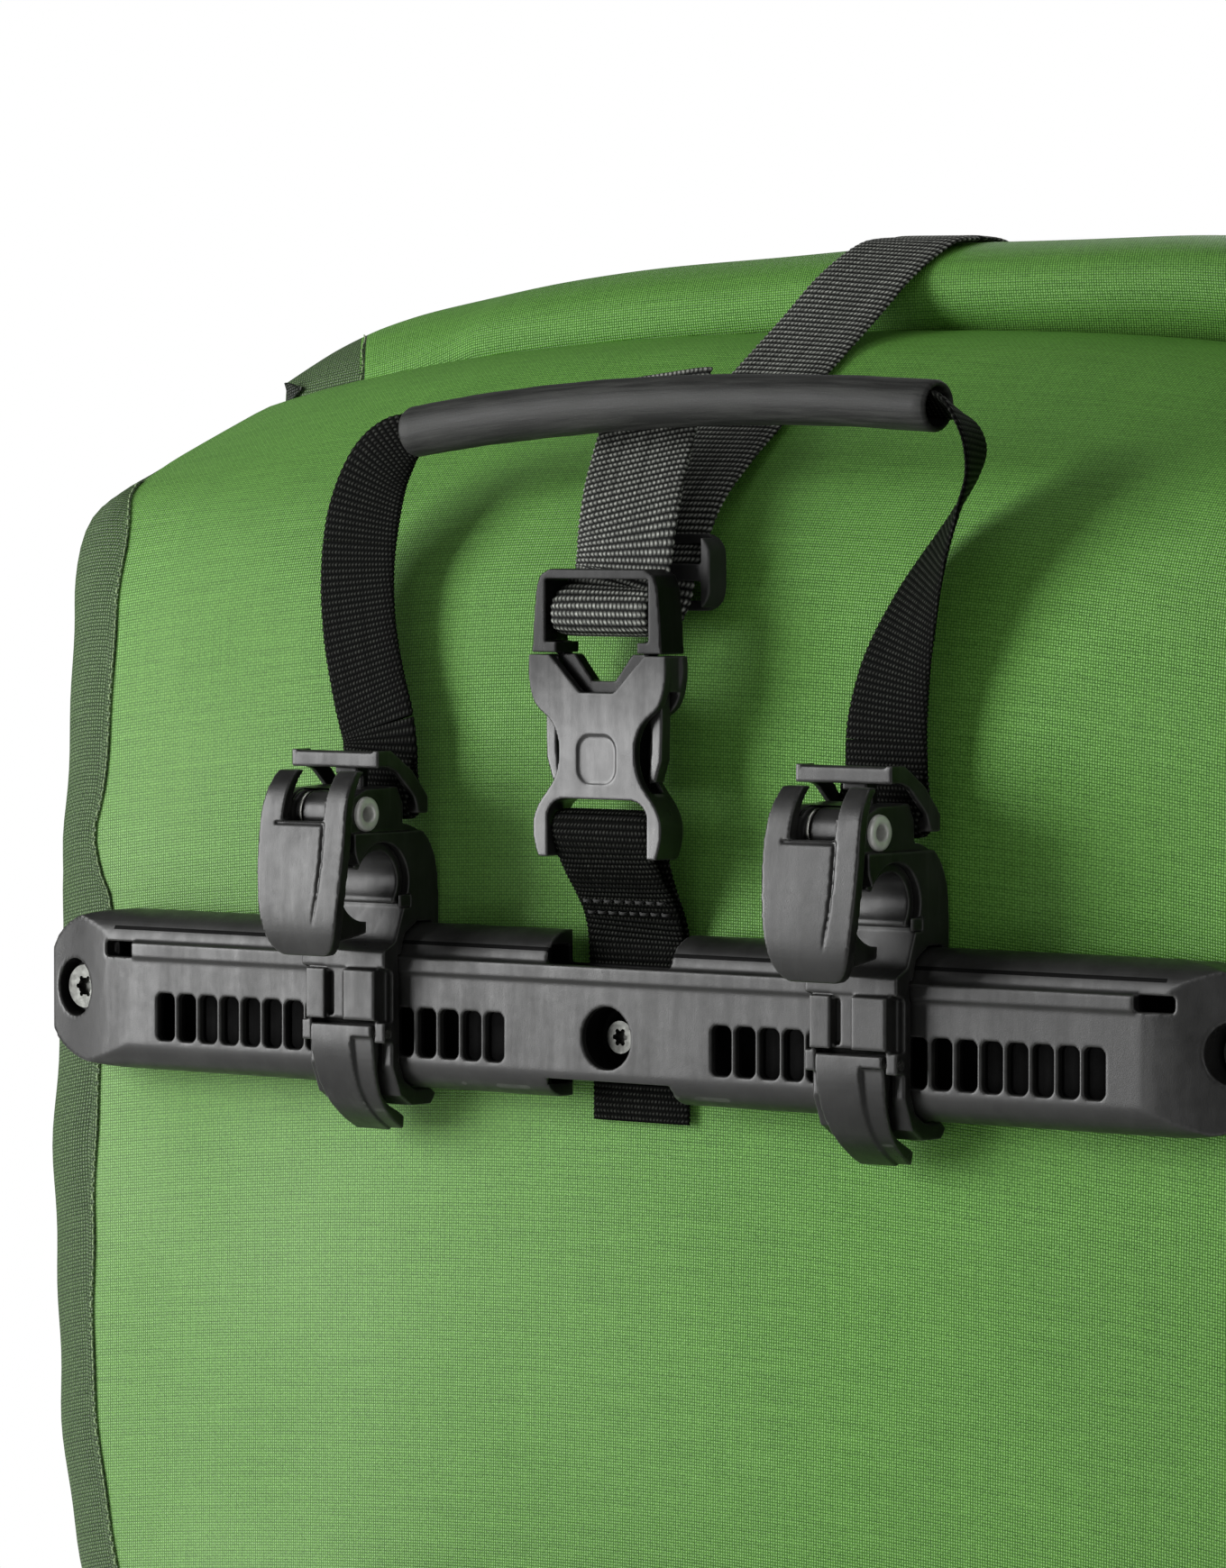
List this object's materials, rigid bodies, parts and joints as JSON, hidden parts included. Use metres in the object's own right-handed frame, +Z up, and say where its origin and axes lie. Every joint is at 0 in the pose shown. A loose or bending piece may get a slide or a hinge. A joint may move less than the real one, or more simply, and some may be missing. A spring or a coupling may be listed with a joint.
{
  "type": "bicycle pannier bag",
  "caption": "Roll-top bicycle pannier with a hook rail, latching tube hooks worked by a carrying handle, a lower anchor hook and a buckled closure strap.",
  "frame": {"origin": "centre of the bounding box at the underside of the bag", "axes": "+Z up, +X along the hook rail, -Y towards the rack"},
  "size_m": [0.336, 0.2041, 0.4221],
  "materials": {
    "fabric_green": "coated woven fabric",
    "fabric_dark_green": "coated woven fabric",
    "webbing_grey": "ribbed webbing",
    "webbing_black": "ribbed webbing",
    "hook_plastic": "moulded glass-filled plastic",
    "rail_plastic": "fine textured plastic",
    "buckle_plastic": "satin acetal",
    "inner_plastic": "sheet plastic",
    "handle_rubber": "dusty matt rubber",
    "screw_black": "blackened steel",
    "steel": "bright plated steel"
  },
  "bodies": {
    "bag": {"rear_panel": "fabric_green", "front_panel": "fabric_green", "base_panel": "fabric_dark_green", "side_gusset_left": "fabric_dark_green", "side_gusset_right": "fabric_dark_green", "roll_top": "fabric_green", "roll_stiffener": "inner_plastic", "inner_backer_plate": "inner_plastic", "mounting_rail": "rail_plastic", "rail_screws": "screw_black", "rail_nuts": "steel", "closure_strap": "webbing_grey", "strap_tail": "webbing_grey", "strap_anchor_patch": "fabric_dark_green", "buckle_female": "buckle_plastic", "buckle_anchor_webbing": "webbing_black", "lower_rail": "rail_plastic", "lower_rail_screws": "screw_black", "lower_rail_nuts": "steel"},
    "handle": {"handle_tube": "handle_rubber", "handle_webbing": "webbing_black"},
    "buckle_male": {"buckle_male": "buckle_plastic", "strap_bight": "webbing_grey"},
    "buckle_arm_left": {"buckle_arm_left": "buckle_plastic"},
    "buckle_arm_right": {"buckle_arm_right": "buckle_plastic"},
    "strap_slider": {"strap_slider": "buckle_plastic"},
    "lower_hook_carriage": {"lower_hook_carriage": "hook_plastic"},
    "lower_hook": {"lower_hook": "hook_plastic"},
    "hook_left": {"hook_left_carriage": "hook_plastic", "hook_left_rivet": "steel", "hook_left_latch_spring": "steel", "hook_left_tube_insert": "hook_plastic", "hook_left_lock_pin": "steel"},
    "hook_left_latch": {"hook_left_latch": "hook_plastic"},
    "hook_left_yoke": {"hook_left_yoke": "hook_plastic", "hook_left_webbing_loop": "webbing_black"},
    "hook_left_lock": {"hook_left_lock_lever": "hook_plastic"},
    "hook_right": {"hook_right_carriage": "hook_plastic", "hook_right_rivet": "steel", "hook_right_latch_spring": "steel", "hook_right_tube_insert": "hook_plastic", "hook_right_lock_pin": "steel"},
    "hook_right_latch": {"hook_right_latch": "hook_plastic"},
    "hook_right_yoke": {"hook_right_yoke": "hook_plastic", "hook_right_webbing_loop": "webbing_black"},
    "hook_right_lock": {"hook_right_lock_lever": "hook_plastic"}
  },
  "joints": [
    {"name": "handle_lift", "type": "slide", "parent": "bag", "child": "handle", "axis": [0, 0, 1], "range_m": [0, 0.008]},
    {"name": "hook_left_slide", "type": "slide", "parent": "bag", "child": "hook_left", "axis": [1, 0, 0], "range_m": [-0.048, 0.024]},
    {"name": "hook_left_yoke_lift", "type": "slide", "parent": "hook_left", "child": "hook_left_yoke", "axis": [0, 0, 1], "range_m": [0, 0.008]},
    {"name": "hook_left_latch_swing", "type": "hinge", "parent": "hook_left", "child": "hook_left_latch", "pos_m": [-0.0652, -0.09225, 0.3028], "axis": [1, 0, 0], "range_deg": [-50, 0], "stiffness_Nm_per_rad": 0.02, "springref_deg": 20.05},
    {"name": "hook_left_lock_swing", "type": "hinge", "parent": "hook_left", "child": "hook_left_lock", "pos_m": [-0.0652, -0.08675, 0.2576], "axis": [1, 0, 0], "range_deg": [-60, 0]},
    {"name": "hook_right_slide", "type": "slide", "parent": "bag", "child": "hook_right", "axis": [1, 0, 0], "range_m": [-0.024, 0.048]},
    {"name": "hook_right_yoke_lift", "type": "slide", "parent": "hook_right", "child": "hook_right_yoke", "axis": [0, 0, 1], "range_m": [0, 0.008]},
    {"name": "hook_right_latch_swing", "type": "hinge", "parent": "hook_right", "child": "hook_right_latch", "pos_m": [0.0652, -0.09225, 0.3028], "axis": [1, 0, 0], "range_deg": [-50, 0], "stiffness_Nm_per_rad": 0.02, "springref_deg": 20.05},
    {"name": "hook_right_lock_swing", "type": "hinge", "parent": "hook_right", "child": "hook_right_lock", "pos_m": [0.0652, -0.08675, 0.2576], "axis": [1, 0, 0], "range_deg": [-60, 0]},
    {"name": "buckle_release", "type": "slide", "parent": "bag", "child": "buckle_male", "axis": [0, 0, 1], "range_m": [0, 0.022], "deforming": ["closure_strap", "strap_tail"]},
    {"name": "buckle_arm_left_squeeze", "type": "hinge", "parent": "buckle_male", "child": "buckle_arm_left", "pos_m": [-0.0133, -0.0821, 0.3356], "axis": [0, 1, 0], "range_deg": [-8, 0], "stiffness_Nm_per_rad": 0.01},
    {"name": "buckle_arm_right_squeeze", "type": "hinge", "parent": "buckle_male", "child": "buckle_arm_right", "pos_m": [0.0133, -0.0821, 0.3356], "axis": [0, 1, 0], "range_deg": [0, 8], "stiffness_Nm_per_rad": 0.01},
    {"name": "strap_slider_travel", "type": "slide", "parent": "bag", "child": "strap_slider", "axis": [0, 0, 1], "range_m": [-0.006, 0.015]},
    {"name": "lower_hook_slide", "type": "slide", "parent": "bag", "child": "lower_hook_carriage", "axis": [1, 0, 0], "range_m": [-0.044, 0.044]},
    {"name": "lower_hook_swivel", "type": "hinge", "parent": "lower_hook_carriage", "child": "lower_hook", "pos_m": [0, -0.07985, 0.128], "axis": [0, 1, 0], "range_deg": [-90, 90]}
  ],
  "couplings": [
    {"joint": "hook_left_yoke_lift", "follows": "handle_lift", "ratio": 1},
    {"joint": "hook_left_latch_swing", "follows": "handle_lift", "rad_per_m": -109},
    {"joint": "hook_right_yoke_lift", "follows": "handle_lift", "ratio": 1},
    {"joint": "hook_right_latch_swing", "follows": "handle_lift", "rad_per_m": -109}
  ]
}
